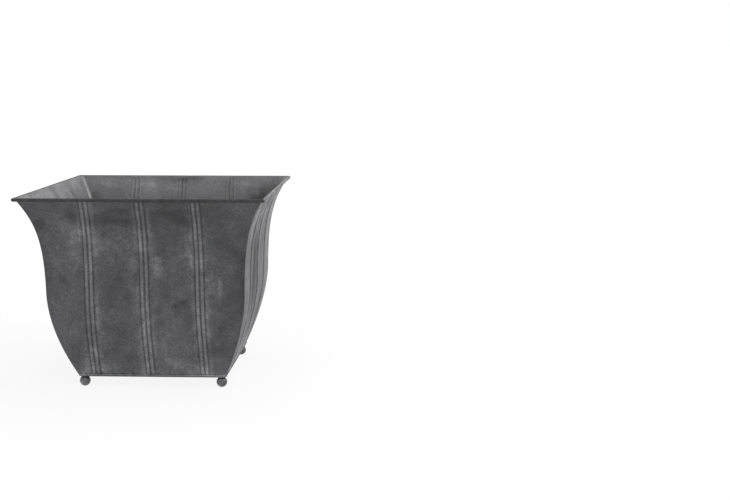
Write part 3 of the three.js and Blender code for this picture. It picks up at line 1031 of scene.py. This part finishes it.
foot_colour = (0.135, 0.136, 0.142)
foot_metal = Finish(bpy.data.materials.new("dull_foot_metal"))
place = foot_metal.node("ShaderNodeTexCoord", {}, {}, output="Object")
cloud = clouds(foot_metal, place, 0.012, 3.0, twist=0.5)
pits = clouds(foot_metal, place, 0.0022, 3.0, roughness=0.6)
foot_shader = foot_metal.built_in("ShaderNodeBsdfPrincipled")
foot_tint = tinted(foot_metal, foot_colour, cloud * 3.2 + pits * 2.4)
foot_metal.feed(foot_shader.inputs["Base Color"], foot_tint)
foot_metal.feed(foot_shader.inputs["Metallic"], 0.4 + foot_metal.rise(cloud, 0.0, 0.2) * 0.3)
foot_metal.feed(foot_shader.inputs["Roughness"], 0.4 - cloud * 0.5 + pits * 0.3)
foot_metal.feed(foot_shader.inputs["Normal"], bumped(foot_metal, pits, 0.8, 0.0004))

for quarter, corner in enumerate(corners):
    shape = bmesh.new()
    spun(shape, foot_profile(), foot_segments)
    at_corner(shape, quarter)
    foot = finished(f"turned_foot_{corner}", shape, sharp=40.0)
    foot.data.materials.append(foot_metal.owner)
    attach(foot, "root")
    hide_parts(f"ball_foot_{corner}")

# ------------------------------------------------------------------------- Screws and washers
# From inside the tray a zinc-plated M4 pan-head screw with a cross recess goes down through a
# flat washer and the tray's floor into each foot.
washer_bottom = 0.01855
washer_top = 0.01935
washer_radius = 0.0045
washer_chamfer = 0.00012
washer_segments = 36
head_seat = 0.01965
head_top = 0.02205
head_radius = 0.004
head_chamfer = 0.0001
head_flat = 0.66
head_segments = 32
shank_radius = 0.00195
shank_bottom = 0.00865
shank_point = 0.001
recess_reach = 0.0022
recess_half = 0.00055
recess_depth = 0.0012
recess_taper = 0.8
first_turn = 0.4
turn_between = 1.3
# The head's rounded side from the top down, as shares of its radius and of its height.
head_side = ((0.8, 0.08), (0.92, 0.24), (0.985, 0.45), (1.0, 0.68))

plating_colour = (0.42, 0.42, 0.40)
plating = Finish(bpy.data.materials.new("plated_steel"))
place = plating.node("ShaderNodeTexCoord", {}, {}, output="Object")
dulling = clouds(plating, place, 0.006, 3.0, twist=0.6)
specks = clouds(plating, place, 0.0012, 2.0)
plating_shader = plating.built_in("ShaderNodeBsdfPrincipled")
plating_tint = tinted(plating, plating_colour, dulling * 1.6 + specks * 0.6)
plating.feed(plating_shader.inputs["Base Color"], plating_tint)
plating.feed(plating_shader.inputs["Roughness"], 0.36 + dulling * 0.4)
plating_shader.inputs["Metallic"].default_value = 0.9
plating.feed(plating_shader.inputs["Normal"], bumped(plating, specks, 0.3, 0.0001))


def make_washer(name, quarter):
    """A flat ring with its four edges taken off."""
    bore = screw_hole_radius
    chamfer = washer_chamfer
    outline = [
        (bore, washer_bottom + chamfer), (bore + chamfer, washer_bottom),
        (washer_radius - chamfer, washer_bottom), (washer_radius, washer_bottom + chamfer),
        (washer_radius, washer_top - chamfer), (washer_radius - chamfer, washer_top),
        (bore + chamfer, washer_top), (bore, washer_top - chamfer),
    ]
    shape = bmesh.new()
    spun(shape, outline, washer_segments)
    at_corner(shape, quarter)
    return finished(name, shape, sharp=30.0)


def at_top(part):
    """Whether a face or an edge lies in the screw head's flat top."""
    return all(vert.co.z > head_top - same_point for vert in part.verts)


def cross_arm(value):
    """Moves a grid line of the cross out to its arm's end or in to its arm's side."""
    return math.copysign(recess_reach if abs(value) > 0.5 else recess_half, value)


def make_screw(name, quarter):
    """A cross recess sunk in a round top, from which the head and the shank are drawn down."""
    shape = bmesh.new()
    bmesh.ops.create_grid(shape, x_segments=3, y_segments=3, size=1.0)
    middles = [(face, face.calc_center_median()) for face in shape.faces]
    in_corner = [face for face, middle in middles if abs(middle.x * middle.y) > 0.2]
    bmesh.ops.delete(shape, geom=in_corner, context="FACES")
    for vert in shape.verts:
        vert.co = (cross_arm(vert.co.x), cross_arm(vert.co.y), head_top)
    sunk = bmesh.ops.extrude_face_region(shape, geom=shape.faces[:])["geom"]
    bottom = [part for part in sunk if isinstance(part, bmesh.types.BMVert)]
    bmesh.ops.translate(shape, verts=bottom, vec=(0.0, 0.0, -recess_depth))
    bmesh.ops.scale(shape, verts=bottom, vec=(recess_taper, recess_taper, 1.0))
    bmesh.ops.delete(shape, geom=[face for face in shape.faces if at_top(face)], context="FACES_ONLY")
    cross = [edge for edge in shape.edges if edge.is_boundary and at_top(edge)]
    ring = round_edges(shape, head_segments, head_radius * head_flat, 0.0, 0.0, head_top)
    bmesh.ops.triangle_fill(
        shape, use_beauty=True, use_dissolve=False, edges=ring + cross, normal=(0.0, 0.0, 1.0),
    )
    drop = head_top - head_seat
    outline = [(head_radius * out, head_top - drop * down) for out, down in head_side]
    outline += [
        (head_radius, head_seat + head_chamfer), (head_radius - head_chamfer, head_seat),
        (shank_radius, head_seat), (shank_radius, shank_bottom + shank_point),
        (shank_radius * 0.7, shank_bottom), (0.0002, shank_bottom),
    ]
    for out, height in outline:
        ring = pulled(shape, ring, lambda vert: reached(vert, 0.0, 0.0, out, height))
    bmesh.ops.contextual_create(shape, geom=ring)
    bmesh.ops.remove_doubles(shape, verts=shape.verts[:], dist=same_point)
    bmesh.ops.recalc_face_normals(shape, faces=shape.faces[:])
    driven = Matrix.Rotation(first_turn + turn_between * quarter, 3, "Z")
    bmesh.ops.rotate(shape, verts=shape.verts, cent=(0.0, 0.0, 0.0), matrix=driven)
    at_corner(shape, quarter)
    return finished(name, shape, sharp=35.0)


for quarter, corner in enumerate(corners):
    for piece, node in (
        (make_washer(f"flat_washer_{corner}", quarter), f"foot_washer_{corner}"),
        (make_screw(f"pan_screw_{corner}", quarter), f"foot_screw_{corner}"),
    ):
        piece.data.materials.append(plating.owner)
        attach(piece, "root")
        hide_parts(node)

# -------------------------------------------------------------------------------------- Size
# The imported model's box and the dressed model's box, put side by side so that they can be
# compared.
size_text = {"cad": [list(corner) for corner in cad_box], "visual": [list(corner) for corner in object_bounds()]}
